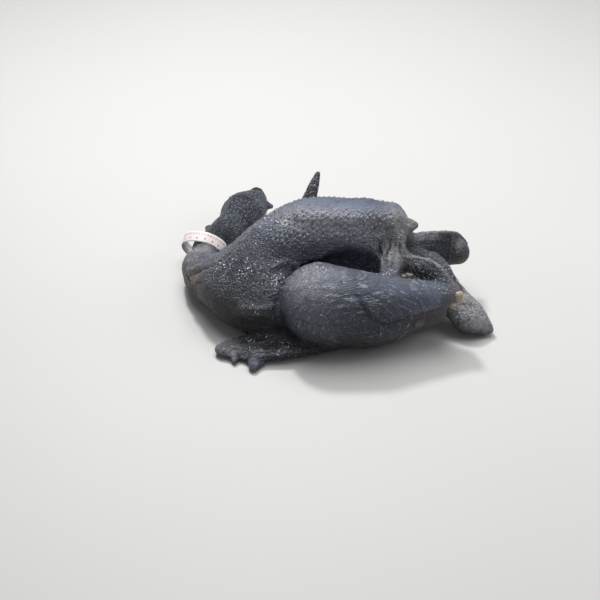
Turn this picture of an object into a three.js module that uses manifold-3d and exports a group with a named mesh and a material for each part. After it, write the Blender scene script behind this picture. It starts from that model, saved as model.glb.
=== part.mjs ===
// A whole raw black chicken, plucked and lying on its back with its head folded round beside it.
// Millimetres. +X points to the tail, -Y to the near side and +Z up, and it lies on z = 0.
// The origin is under the middle of the bird.
import * as THREE from "three";
import { mergeVertices } from "three/addons/utils/BufferGeometryUtils.js";
import Module from "manifold-3d";

const wasm = await Module();
wasm.setup();

// Landmarks of the bird before it is moved to the origin, each the middle of the flesh there.
const CROP = [-76, -26, 17];
const KEEL_END = [47, 8, 53];
const NEAR_KNEE = [0, -50, 32];
const NEAR_HOCK = [83, -28, 37.5];
const FAR_KNEE = [0, 43, 22];
const FAR_HOCK = [84, 29, 34];
const VENT_TUCK = [40, -1, 47];
const NAPE = [-93, 48, 14];
const SKULL = [-88, 72, 15];
const FAR_WRIST = [-34, 62, 9];
const TAIL_TIP = [115, -19, 4.5];
const BAND_MIDDLE = [-104, 20.5, 16];

// How far the flesh reaches from those middles.
const BREAST_HALF_WIDTH = 31;
const BREAST_HALF_HEIGHT = 38;
const KNEE_RADIUS = 26;
const HOCK_RADIUS = 9.5;
const NECK_RADIUS = 10;
const WING_HALF_THICKNESS = 6;

// How softly two masses run into each other.
const SHARP_FILLET = 2;
const FILLET = 5.5;
const BROAD_FILLET = 14;

// The shift that puts the origin under the middle of the bird.
const TO_ORIGIN = [3.6, -3.5, 0];

// Straight pieces in each stretch of a limb.
const STRETCH_PIECES = 4;

// Grid cells: coarse on the trunk, fine over the head and the wings, and close to the ground.
const CELL = 4.8;
const FINE_CELL = 3.2;
const LOW_CELL = 2.8;
const FAR_OUTSIDE = 1000;
const PINCH_FILL = 0.3;
const RELAX_ROUNDS = 4;
const RELAX_LIMIT = 1.2;
const GRID_X = [[-128, 122, CELL]];
const GRID_Y = [[-104, -62, FINE_CELL], [-62, 48, CELL], [48, 114, FINE_CELL]];
const GRID_Z = [[-14, 12, LOW_CELL], [12, 98, CELL]];

// Paper band round the neck.
const BAND = { halfWidth: 15.8, rise: 12, drop: 14, breadth: 9.4, thickness: 0.8, sides: 20 };
const BAND_AXIS = [0, 0.93, 0.37];
const BAND_ROLL = -0.28;

// Where the far shank is sawn through, and which way its cut end faces.
const SAWN_AT = [80, 24, 41];
const SAWN_FACING = [0.78, -0.52, 0.34];

// Two distances blended into one surface, with a fillet of about the size of reach.
function smoothMin(a, b, reach) {
  const h = Math.max(reach - Math.abs(a - b), 0) / reach;
  return Math.min(a, b) - (h * h * reach) / 4;
}

// An ellipsoid, turned about the vertical by some degrees.
function ball(at, reach, turn = 0) {
  const [cx, cy, cz] = at;
  const [a, b, c] = reach;
  const angle = THREE.MathUtils.degToRad(turn);
  const cos = Math.cos(angle);
  const sin = Math.sin(angle);
  const wide = Math.hypot(a * cos, b * sin);
  const deep = Math.hypot(a * sin, b * cos);
  return {
    low: [cx - wide, cy - deep, cz - c],
    high: [cx + wide, cy + deep, cz + c],
    distance(x, y, z) {
      const u = (x - cx) * cos + (y - cy) * sin;
      const v = (y - cy) * cos - (x - cx) * sin;
      const w = z - cz;
      const near = Math.hypot(u / a, v / b, w / c);
      const slope = Math.hypot(u / (a * a), v / (b * b), w / (c * c));
      return (near * (near - 1)) / Math.max(slope, 1e-6);
    },
  };
}

// A limb through stations of [middle, half width, half height], with smooth curves between them.
// Its width lies level and across the limb. cap is the roundness of its ends: 1 is a half ball.
function limb(stations, cap = 1) {
  const places = new THREE.CatmullRomCurve3(
    stations.map(([at]) => new THREE.Vector3(...at)),
    false,
    "catmullrom",
  );
  const sizes = new THREE.CatmullRomCurve3(
    stations.map(([, wide, high = wide]) => new THREE.Vector3(wide, high, 0)),
    false,
    "catmullrom",
  );
  const pieces = STRETCH_PIECES * (stations.length - 1);
  const segments = [];
  for (let i = 0; i < pieces; i++) {
    segments.push(segment(places, sizes, i / pieces, (i + 1) / pieces, cap));
  }
  const reach = Math.max(...stations.map(([, wide, high = wide]) => Math.max(wide, high)));
  const box = new THREE.Box3().setFromPoints(places.getPoints(pieces)).expandByScalar(reach);
  return {
    low: box.min.toArray(),
    high: box.max.toArray(),
    distance: (x, y, z) => Math.min(...segments.map((piece) => piece(x, y, z))),
  };
}

// One straight stretch of a limb, an oval cone between two points of its curves.
function segment(places, sizes, from, to, cap) {
  const start = places.getPoint(from);
  const along = places.getPoint(to).sub(start);
  const length = along.length();
  along.divideScalar(length);
  const side = new THREE.Vector3(0, 0, 1).cross(along).normalize();
  const up = new THREE.Vector3().crossVectors(along, side);
  const first = sizes.getPoint(from);
  const last = sizes.getPoint(to);
  const point = new THREE.Vector3();
  return (x, y, z) => {
    point.set(x, y, z).sub(start);
    const run = point.dot(along);
    const share = THREE.MathUtils.clamp(run / length, 0, 1);
    const wide = THREE.MathUtils.lerp(first.x, last.x, share);
    const high = THREE.MathUtils.lerp(first.y, last.y, share);
    const small = Math.min(wide, high);
    const past = (run - share * length) / (small * cap);
    return (Math.hypot(point.dot(side) / wide, point.dot(up) / high, past) - 1) * small;
  };
}

// A mass cut off flat, where facing points away from what is kept.
function sawn(shape, at, facing) {
  const normal = new THREE.Vector3(...facing).normalize();
  const middle = new THREE.Vector3(...at);
  const point = new THREE.Vector3();
  return {
    low: shape.low,
    high: shape.high,
    distance(x, y, z) {
      const past = point.set(x, y, z).sub(middle).dot(normal);
      return -smoothMin(-shape.distance(x, y, z), -past, SHARP_FILLET);
    },
  };
}

// The lines of a grid from runs of [start, end, cell].
function gridLines(runs) {
  const lines = [runs[0][0]];
  for (const [start, end, cell] of runs) {
    const count = Math.round((end - start) / cell);
    for (let i = 1; i <= count; i++) lines.push(start + ((end - start) * i) / count);
  }
  return lines;
}

// Signed distances at the crossings of a grid, negative inside the flesh.
class Flesh {
  constructor() {
    this.lines = [gridLines(GRID_X), gridLines(GRID_Y), gridLines(GRID_Z)];
    this.size = this.lines.map((line) => line.length);
    const [nx, ny, nz] = this.size;
    this.values = new Float32Array(nx * ny * nz).fill(FAR_OUTSIDE);
  }

  index(i, j, k) {
    return (i * this.size[1] + j) * this.size[2] + k;
  }

  // Calls change with the index and the place of each crossing that the shape can reach.
  each(shape, reach, change) {
    const margin = reach + 2 * CELL;
    const inside = this.lines.map((line, axis) =>
      [...line.keys()].filter(
        (n) => line[n] >= shape.low[axis] - margin && line[n] <= shape.high[axis] + margin,
      ),
    );
    for (const i of inside[0])
      for (const j of inside[1])
        for (const k of inside[2])
          change(this.index(i, j, k), this.lines[0][i], this.lines[1][j], this.lines[2][k]);
  }

  join(shape, reach) {
    this.each(shape, reach, (n, x, y, z) => {
      this.values[n] = smoothMin(this.values[n], shape.distance(x, y, z), reach);
    });
  }

  hollow(shape, reach) {
    this.each(shape, reach, (n, x, y, z) => {
      this.values[n] = -smoothMin(-this.values[n], shape.distance(x, y, z), reach);
    });
  }

  // Fills the corner between two bits of flesh that meet only diagonally across a grid square,
  // because they would share one edge of the mesh.
  fillPinches() {
    let changed = true;
    while (changed) {
      changed = false;
      for (let axis = 0; axis < 3; axis++) {
        const [next, last] = [(axis + 1) % 3, (axis + 2) % 3];
        this.eachCrossing((p) => {
          if (p[next] + 1 >= this.size[next] || p[last] + 1 >= this.size[last]) return;
          const square = [[0, 0], [1, 0], [1, 1], [0, 1]].map(([a, b]) => {
            const q = [...p];
            q[next] += a;
            q[last] += b;
            return this.index(...q);
          });
          const full = square.map((n) => this.values[n] < 0);
          if (full[0] !== full[2] || full[1] !== full[3] || full[0] === full[1]) return;
          const empty = square.filter((n, i) => !full[i]);
          const [a, b] = empty.map((n) => this.values[n]);
          this.values[a < b ? empty[0] : empty[1]] = -PINCH_FILL;
          changed = true;
        });
      }
    }
  }

  eachCrossing(visit) {
    for (let i = 0; i < this.size[0]; i++)
      for (let j = 0; j < this.size[1]; j++)
        for (let k = 0; k < this.size[2]; k++) visit([i, j, k]);
  }

  // The surface as a closed mesh of squares: one vertex in each cell that it crosses, and one
  // square round each grid edge that it crosses.
  surface() {
    const vertices = [];
    const vertexOf = new Map();
    const edges = [];
    const cornerSteps = [0, 1].flatMap((a) => [0, 1].flatMap((b) => [0, 1].map((c) => [a, b, c])));
    const [nx, ny, nz] = this.size;
    const crossing = (p, axis) => {
      const q = [...p];
      q[axis] += 1;
      if (q[axis] >= this.size[axis]) return null;
      const a = this.values[this.index(...p)];
      const b = this.values[this.index(...q)];
      if (a < 0 === b < 0) return null;
      const place = p.map((n, i) => this.lines[i][n]);
      place[axis] += (a / (a - b)) * (this.lines[axis][q[axis]] - place[axis]);
      return { place, outward: a < 0 };
    };
    for (let i = 0; i < nx - 1; i++)
      for (let j = 0; j < ny - 1; j++)
        for (let k = 0; k < nz - 1; k++) {
          const sum = new THREE.Vector3();
          let found = 0;
          for (let axis = 0; axis < 3; axis++) {
            for (const step of cornerSteps.filter((corner) => corner[axis] === 0)) {
              const met = crossing([i + step[0], j + step[1], k + step[2]], axis);
              if (!met) continue;
              sum.add(new THREE.Vector3(...met.place));
              found += 1;
            }
            const own = crossing([i, j, k], axis);
            if (own) edges.push({ cell: [i, j, k], axis, outward: own.outward });
          }
          if (!found) continue;
          vertexOf.set(this.index(i, j, k), vertices.length / 3);
          vertices.push(...sum.divideScalar(found).toArray());
        }
    const squares = [];
    for (const { cell, axis, outward } of edges) {
      const next = (axis + 1) % 3;
      const last = (axis + 2) % 3;
      const around = [[0, 0], [1, 0], [1, 1], [0, 1]].map(([a, b]) => {
        const n = [...cell];
        n[next] -= a;
        n[last] -= b;
        return vertexOf.get(this.index(...n));
      });
      squares.push(outward ? around : around.reverse());
    }
    return { vertices, squares };
  }
}

// Evens out a mesh of squares: each vertex moves towards the middle of its neighbours, but never
// further from where it was than the limit.
function relaxed({ vertices, squares }) {
  const count = vertices.length / 3;
  const neighbours = Array.from({ length: count }, () => new Set());
  for (const square of squares) {
    square.forEach((vertex, i) => {
      neighbours[vertex].add(square[(i + 1) % 4]);
      neighbours[vertex].add(square[(i + 3) % 4]);
    });
  }
  const placeOf = (_, i) => new THREE.Vector3().fromArray(vertices, 3 * i);
  const first = Array.from({ length: count }, placeOf);
  let points = first;
  for (let round = 0; round < RELAX_ROUNDS; round++) {
    points = points.map((point, i) => {
      const middle = new THREE.Vector3();
      for (const other of neighbours[i]) middle.add(points[other]);
      middle.divideScalar(neighbours[i].size);
      const move = middle.lerp(point, 0.5).sub(first[i]).clampLength(0, RELAX_LIMIT);
      return move.add(first[i]);
    });
  }
  return { vertices: points.flatMap((point) => point.toArray()), squares };
}

// Each square becomes two triangles, split along its shorter diagonal.
function split({ vertices, squares }) {
  const at = (i) => new THREE.Vector3().fromArray(vertices, 3 * i);
  const triangles = squares.flatMap(([a, b, c, d]) =>
    at(a).distanceTo(at(c)) < at(b).distanceTo(at(d)) ? [a, b, c, a, c, d] : [b, c, d, b, d, a],
  );
  return { vertices, triangles };
}

// Breast and ribs, back, pelvis, shoulders and the skin that closes the end of the breast.
function addTrunk(flesh) {
  const blunt = 0.3;
  const ribs = limb(
    [
      [CROP, 20, 13],
      [[-62, -20, 25], 26, 19],
      [[-42, -12, 35], BREAST_HALF_WIDTH, 29.5],
      [[-18, -4, 42], BREAST_HALF_WIDTH, BREAST_HALF_HEIGHT],
      [[8, 2, 44], 29, BREAST_HALF_HEIGHT - 1],
      [[28, 6, 47], 26, 34.5],
      [KEEL_END, 21, 27.5],
    ],
    blunt,
  );
  const keelEdge = limb([[[-20, -9, 74], 7, 6], [[10, -5, 76], 7, 6], [[42, 1, 74], 7, 6]]);
  const keelFlap = limb([[[49, 6, 66], 5, 6], [[55, 7, 66], 3]]);
  const skinWeb = limb([[[43, -4, 57], 10], [[43, -14, 51], 9], [[45, -26, 46], 8.5]]);
  const webFoot = limb([[[41, -14, 57], 6.5, 5], [[43, -25, 54.5], 7.5, 5], [[44.5, -34, 51], 6.5, 4]]);
  const back = ball([-22, -6, 18], [58, 42, 22]);
  const pelvis = ball([40, 0, 18], [44, 30, 20]);
  const nearShoulder = ball([-54, -36, 24], [38, 28, 24], -14);
  const nearWingRoot = ball([-38, -46, 18], [24, 20, 18]);
  const farShoulder = ball([-42, 6, 22], [28, 26, 21]);
  flesh.join(ribs, FILLET);
  flesh.join(keelEdge, FILLET);
  flesh.join(keelFlap, FILLET);
  flesh.join(skinWeb, FILLET);
  flesh.join(webFoot, FILLET);
  flesh.join(back, BROAD_FILLET);
  flesh.join(pelvis, BROAD_FILLET);
  flesh.join(nearShoulder, BROAD_FILLET);
  flesh.join(nearWingRoot, BROAD_FILLET);
  flesh.join(farShoulder, BROAD_FILLET);
}

// The pocket between the breast and the near leg, and the opening under the end of the breast.
function addHollows(flesh) {
  const pocket = limb([
    [[-14, -31, 48], 5],
    [[-2, -30, 49], 8],
    [[14, -28, 49], 9, 11.5],
    [[26, -26, 48], 8.5, 11.5],
  ]);
  const opening = limb([[[64, 2, 53], 8, 6], [[52, 3, 49], 8, 7]]);
  const mouth = ball([56.5, -5, 59], [7.5, 8, 7]);
  flesh.hollow(pocket, FILLET);
  flesh.hollow(opening, FILLET);
  flesh.hollow(mouth, FILLET);
}

// A strap of skin from the mouth of the belly over the root of the tail.
function addBellyStrap(flesh) {
  const strap = limb([
    [[44, 0, 42], 8, 8.5],
    [[56, 0, 42], 8.5, 9],
    [[66, -1, 41], 8.5, 9],
    [[74, -3, 37], 7.5, 8.5],
    [[80, -6, 31], 7, 7],
    [[87, -10, 24], 8, 6],
    [[94, -13, 16], 8, 6],
  ]);
  flesh.join(strap, FILLET);
}

// The thigh runs out to the knee and the drumstick back to the hock; the shank folds up over it
// and its end is tucked into the opening.
function addNearLeg(flesh) {
  const knee = [NEAR_KNEE, KNEE_RADIUS, KNEE_RADIUS + 1];
  const thigh = limb([[[50, -28, 18], 16], [[25, -42, 24], 20, 22], knee]);
  const underside = limb([
    [[10, -50, 20], 22, 19],
    [[38, -46, 18], 17, 15],
    [[60, -38, 20], 12, 11],
    [[76, -31, 24], 8, 9],
  ]);
  const drumstick = limb([
    knee,
    [[25, -49, 37], 21, 20.5],
    [[50, -42, 37], 15],
    [[70, -34, 36], 11, 12],
    [NEAR_HOCK, HOCK_RADIUS],
  ]);
  const shank = limb([
    [NEAR_HOCK, HOCK_RADIUS - 1],
    [[75, -21, 43.5], 6.5, 11],
    [[62, -17, 44.5], 6, 11],
    [[50, -13, 45], 6, 10.5],
    [[42, -6, 46], 6, 8],
  ]);
  const calfSkin = limb([[[44, -22, 35], 10], [[70, -25, 34], 9]]);
  const gristle = ball([87, -31, 36], [5, 4.5, 5.5]);
  for (const mass of [thigh, underside, drumstick, shank, calfSkin, gristle]) {
    flesh.join(mass, FILLET);
  }
}

function addFarLeg(flesh) {
  const knee = [FAR_KNEE, KNEE_RADIUS - 2, KNEE_RADIUS - 4];
  const thigh = limb([[[50, 22, 16], 16], [[25, 34, 18], 20, 18], knee]);
  const drumstick = limb([
    knee,
    [[25, 40, 24], 19],
    [[50, 34, 25], 13],
    [[68, 30, 29], 9, 10],
    [FAR_HOCK, HOCK_RADIUS - 1.5],
  ]);
  const shank = limb([
    [[92, 31, 38], 8.5, 12],
    [[84, 28, 39.5], 8.5, 12],
    [[72, 22, 42], 8.5, 11.5],
    [[58, 14, 45], 8.5, 10],
    [VENT_TUCK, 8, 9],
  ]);
  flesh.join(thigh, FILLET);
  flesh.join(drumstick, FILLET);
  flesh.join(ball([62, 22, 32], [12, 8, 8]), FILLET);
  flesh.join(sawn(shank, SAWN_AT, SAWN_FACING), SHARP_FILLET);
}

function addTail(flesh) {
  const tail = limb([
    [[62, -2, 23], 18, 14],
    [[79, -6, 21], 11, 9.5],
    [[91, -12, 16], 12.5, 9.5],
    [[101, -15.5, 10.5], 12.5, 8],
    [[109.5, -17.5, 5.5], 6.5, 4.5],
    [TAIL_TIP, 1.6],
  ]);
  flesh.join(tail, FILLET);
  flesh.join(ball([97, -17, 9], [9.5, 9, 8.5]), FILLET);
}

// The neck bends round from the crop to lie beside the body, with the head at its end.
function addNeckAndHead(flesh) {
  const neck = limb([
    [[-68, -20, 22], 18, 16],
    [[-81, -27, 18], 16, 15],
    [[-90, -19, 17], 15],
    [[-98, -6, 14.5], 14, 13.5],
    [[-100, 6, 13.5], 11, 11.5],
    [[-102, 20, 14.8], NECK_RADIUS],
    [[-99.5, 31, 15.6], NECK_RADIUS - 0.6],
    [[-97, 38, 14.6], NECK_RADIUS + 0.6],
    [NAPE, 12],
  ]);
  const skull = ball(SKULL, [16, 23, 15], -14);
  const face = ball([-82, 87, 14], [9.5, 10, 12]);
  const comb = limb([[[-87, 92, 17], 4, 6], [[-83, 96, 18], 3.5, 7], [[-79, 95, 15], 3, 6]]);
  const beak = limb([[[-75, 91, 13], 4.5, 4], [[-69, 92.5, 11], 2]]);
  const napeKnob = limb([[[-106, 50, 10], 5, 4.5], [[-110, 55, 10], 3]]);
  flesh.join(neck, FILLET);
  flesh.join(skull, FILLET);
  flesh.join(face, FILLET);
  flesh.join(comb, SHARP_FILLET);
  flesh.join(beak, SHARP_FILLET);
  flesh.join(napeKnob, SHARP_FILLET);
}

// The near wing lies flat beside the shoulder; the tip of the far one points up.
function addWings(flesh) {
  const nearUpperArm = limb([
    [[-44, -46, 12], 14, 12],
    [[-16, -50, 11], 12, 11],
    [[14, -48, 10], 11, 10],
  ]);
  const nearForearm = limb([
    [[22, -50, 9], 9, 7],
    [[-5, -64, 7], 10, WING_HALF_THICKNESS],
    [[-26, -72, 5], 10, 5],
    [[-46, -75, 4.5], 9.5, 4.5],
    [[-59, -80, 4.5], 6.5, 3.8],
    [[-64, -80.5, 4], 4.5, 3],
  ]);
  const nearThumb = limb([[[-36, -82, 5], 5.4, 4.4], [[-36, -91, 4], 3.6, 3.2]]);
  const nearFinger = limb([[[-50, -79, 4], 3.8, 3.4], [[-51, -87, 3.4], 2.8]]);
  const farWing = limb([
    [[20, 44, 9], 9, 7],
    [[-8, 54, 8], 10, WING_HALF_THICKNESS],
    [FAR_WRIST, 10, 7],
    [[-38, 70, 20], 8, 6],
    [[-35, 78, 36], 6, 4.5],
    [[-31, 84, 51.5], 2.4],
  ]);
  flesh.join(nearUpperArm, FILLET);
  flesh.join(nearForearm, SHARP_FILLET);
  flesh.join(nearThumb, SHARP_FILLET);
  flesh.join(nearFinger, SHARP_FILLET);
  flesh.join(farWing, SHARP_FILLET);
}

function solidFrom(vertices, triangles) {
  return new wasm.Manifold(
    new wasm.Mesh({
      numProp: 3,
      vertProperties: new Float32Array(vertices),
      triVerts: new Uint32Array(triangles),
    }),
  );
}

function geometryFrom(solid) {
  const mesh = solid.getMesh();
  const geometry = new THREE.BufferGeometry();
  geometry.setAttribute("position", new THREE.BufferAttribute(mesh.vertProperties, 3));
  geometry.setIndex(new THREE.BufferAttribute(mesh.triVerts, 1));
  geometry.computeVertexNormals();
  return geometry;
}

// What lies below the ground is cut off, which leaves the flat spots that the bird rests on.
function cutLevel({ vertices, triangles }) {
  const width = 400;
  const depth = 60;
  const ground = new THREE.BoxGeometry(width, width, depth).translate(0, 0, -depth / 2);
  ground.deleteAttribute("normal");
  ground.deleteAttribute("uv");
  const merged = mergeVertices(ground);
  const block = solidFrom(merged.attributes.position.array, merged.index.array);
  return solidFrom(vertices, triangles).subtract(block);
}

function chickenGeometry() {
  const flesh = new Flesh();
  addTrunk(flesh);
  addHollows(flesh);
  addBellyStrap(flesh);
  addNearLeg(flesh);
  addFarLeg(flesh);
  addTail(flesh);
  addNeckAndHead(flesh);
  addWings(flesh);
  flesh.fillPinches();
  return geometryFrom(cutLevel(split(relaxed(flesh.surface()))));
}

// A thin oval hoop, square across its edge, whose breadth lies along BAND_AXIS.
function bandGeometry() {
  const { halfWidth, rise, drop, breadth, thickness, sides } = BAND;
  const trace = (path, more) => {
    path.absellipse(0, 0, halfWidth + more, rise + more, 0, Math.PI);
    return path.absellipse(0, 0, halfWidth + more, drop + more, Math.PI, 2 * Math.PI);
  };
  const outline = trace(new THREE.Shape(), thickness);
  outline.holes.push(trace(new THREE.Path(), 0));
  const hoop = new THREE.ExtrudeGeometry(outline, {
    depth: breadth,
    bevelEnabled: false,
    curveSegments: sides / 2,
  });
  const axis = new THREE.Vector3(...BAND_AXIS).normalize();
  const side = new THREE.Vector3().crossVectors(axis, new THREE.Vector3(0, 0, 1)).normalize();
  const up = new THREE.Vector3().crossVectors(side, axis);
  hoop.translate(0, 0, -breadth / 2);
  hoop.rotateZ(BAND_ROLL);
  hoop.applyMatrix4(new THREE.Matrix4().makeBasis(side, up, axis.clone().negate()));
  return hoop.translate(...BAND_MIDDLE);
}

const chicken = new THREE.Mesh(
  chickenGeometry(),
  new THREE.MeshStandardMaterial({ color: 0x3f4450, roughness: 0.4, metalness: 0 }),
);
chicken.name = "chicken";

const neckBand = new THREE.Mesh(
  bandGeometry(),
  new THREE.MeshStandardMaterial({ color: 0xeceae6, roughness: 0.7, metalness: 0 }),
);
neckBand.name = "neck_band";

const bird = new THREE.Group();
bird.add(chicken, neckBand);
bird.position.set(...TO_ORIGIN);

export default bird;
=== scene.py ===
import math

import bpy
import numpy as np
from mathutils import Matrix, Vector
from mathutils.bvhtree import BVHTree


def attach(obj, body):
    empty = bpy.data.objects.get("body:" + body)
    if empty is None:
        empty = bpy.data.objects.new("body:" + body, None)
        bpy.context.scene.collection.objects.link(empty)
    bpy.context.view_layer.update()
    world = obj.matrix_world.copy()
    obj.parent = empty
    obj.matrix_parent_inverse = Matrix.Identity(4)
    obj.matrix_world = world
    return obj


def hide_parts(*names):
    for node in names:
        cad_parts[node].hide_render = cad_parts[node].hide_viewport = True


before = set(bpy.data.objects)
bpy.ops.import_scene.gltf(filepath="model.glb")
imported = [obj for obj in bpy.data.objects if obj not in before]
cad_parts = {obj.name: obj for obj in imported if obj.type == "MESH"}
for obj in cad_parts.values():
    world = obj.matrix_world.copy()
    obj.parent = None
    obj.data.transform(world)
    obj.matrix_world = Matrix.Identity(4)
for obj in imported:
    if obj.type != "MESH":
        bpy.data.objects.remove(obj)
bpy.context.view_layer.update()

MM = 0.001
MOVE = np.array([3.6, -3.5, 0.0])
GROUND = 0.05
GROUND_FADE = 3

CROP = (-76, -26, 17)
KEEL_END = (47, 8, 53)
NEAR_KNEE = (0, -50, 32)
NEAR_HOCK = (83, -28, 37.5)
FAR_KNEE = (0, 43, 22)
FAR_HOCK = (84, 29, 34)
VENT_TUCK = (40, -1, 47)
NAPE = (-93, 48, 14)
SKULL = (-88, 72, 15)
FAR_WRIST = (-34, 62, 9)
EYE = (-88, 72.3, 30)
SAWN_AT = (78.5, 24, 41)
SAWN_FACING = (0.78, -0.52, 0.34)
BAND_MIDDLE = (-104, 20.5, 16)

# How softly two masses run into each other.
TIGHT = 1.5
SHARP = 2.0
CREASE = 3.0
FILLET = 5.5
BROAD = 14.0

# The grid that the skin is worked out on, and the pieces in each stretch of a limb.
STEP = 1.1
GRID_LOW = (-124, -102, -4)
GRID_HIGH = (120, 108, 90)
FAR_OUTSIDE = 40.0
STRETCH_PIECES = 4
THINNEST = 0.6
PINCH_FILL = 0.05
PINCH_ROUNDS = 2


def smooth_min(a, b, reach):
    """Two distances blended into one surface, with a fillet of about the size of reach."""
    share = np.maximum(reach - np.abs(a - b), 0) / reach
    return np.minimum(a, b) - share * share * (reach / 4)


def mixed(shares, x, y, z):
    return x * shares[0] + y * shares[1] + z * shares[2]


def smooth_curve(rows, pieces):
    """Catmull-Rom points through rows of numbers."""
    rows = np.array(rows, float)
    ends = np.vstack([2 * rows[0] - rows[1], rows, 2 * rows[-1] - rows[-2]])
    points = []
    for i in range(len(rows) - 1):
        a, b, c, d = ends[i:i + 4]
        for t in np.arange(pieces) / pieces:
            cubic = 3 * b - a - 3 * c + d
            square = 2 * a - 5 * b + 4 * c - d
            points.append(0.5 * (2 * b + (c - a) * t + square * t**2 + cubic * t**3))
    points.append(rows[-1])
    return np.array(points)


class Ball:
    """An ellipsoid, turned about the vertical by some degrees."""

    def __init__(self, at, reach, turn=0):
        self.at = np.array(at, float)
        self.reach = reach
        self.cos = math.cos(math.radians(turn))
        self.sin = math.sin(math.radians(turn))
        a, b, c = reach
        wide = math.hypot(a * self.cos, b * self.sin)
        deep = math.hypot(a * self.sin, b * self.cos)
        self.low = self.at - (wide, deep, c)
        self.high = self.at + (wide, deep, c)

    def distance(self, x, y, z):
        a, b, c = self.reach
        x = x - self.at[0]
        y = y - self.at[1]
        z = z - self.at[2]
        u = x * self.cos + y * self.sin
        v = y * self.cos - x * self.sin
        near = np.sqrt((u / a) ** 2 + (v / b) ** 2 + (z / c) ** 2)
        slope = np.sqrt((u / a**2) ** 2 + (v / b**2) ** 2 + (z / c**2) ** 2)
        return near * (near - 1) / np.maximum(slope, 1e-6)


class Limb:
    """A mass through stations of (x, y, z, half width, half height), with smooth curves between.

    A station without a half height is as high as it is wide. The width lies level and across the
    limb. cap is the roundness of its ends.
    """

    def __init__(self, *stations, cap=1.0):
        rows = [(*station[:4], station[-1]) for station in stations]
        self.points = smooth_curve(rows, STRETCH_PIECES)
        self.points[:, 3:] = np.maximum(self.points[:, 3:], THINNEST)
        self.cap = cap
        reach = self.points[:, 3:].max(1)[:, None]
        self.low = (self.points[:, :3] - reach).min(0)
        self.high = (self.points[:, :3] + reach).max(0)

    def distance(self, x, y, z):
        pairs = zip(self.points[:-1], self.points[1:])
        return np.minimum.reduce([self.cone(a, b, x, y, z) for a, b in pairs])

    def cone(self, a, b, x, y, z):
        along = b[:3] - a[:3]
        length = np.linalg.norm(along)
        along = along / length
        side = np.cross((0, 0, 1), along)
        side = side / np.linalg.norm(side)
        up = np.cross(along, side)
        x = x - a[0]
        y = y - a[1]
        z = z - a[2]
        run = mixed(along, x, y, z)
        share = np.clip(run / length, 0, 1)
        wide = a[3] + (b[3] - a[3]) * share
        high = a[4] + (b[4] - a[4]) * share
        small = np.minimum(wide, high)
        past = (run - share * length) / (small * self.cap)
        across = mixed(side, x, y, z) / wide
        over = mixed(up, x, y, z) / high
        return (np.sqrt(across**2 + over**2 + past**2) - 1) * small


class Sawn:
    """A mass cut off flat, where facing points away from what is kept."""

    def __init__(self, shape, at, facing):
        self.shape = shape
        self.at = at
        self.facing = np.array(facing) / np.linalg.norm(facing)
        self.low = shape.low
        self.high = shape.high

    def distance(self, x, y, z):
        past = mixed(self.facing, x - self.at[0], y - self.at[1], z - self.at[2])
        return -smooth_min(-self.shape.distance(x, y, z), -past, TIGHT)


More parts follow.
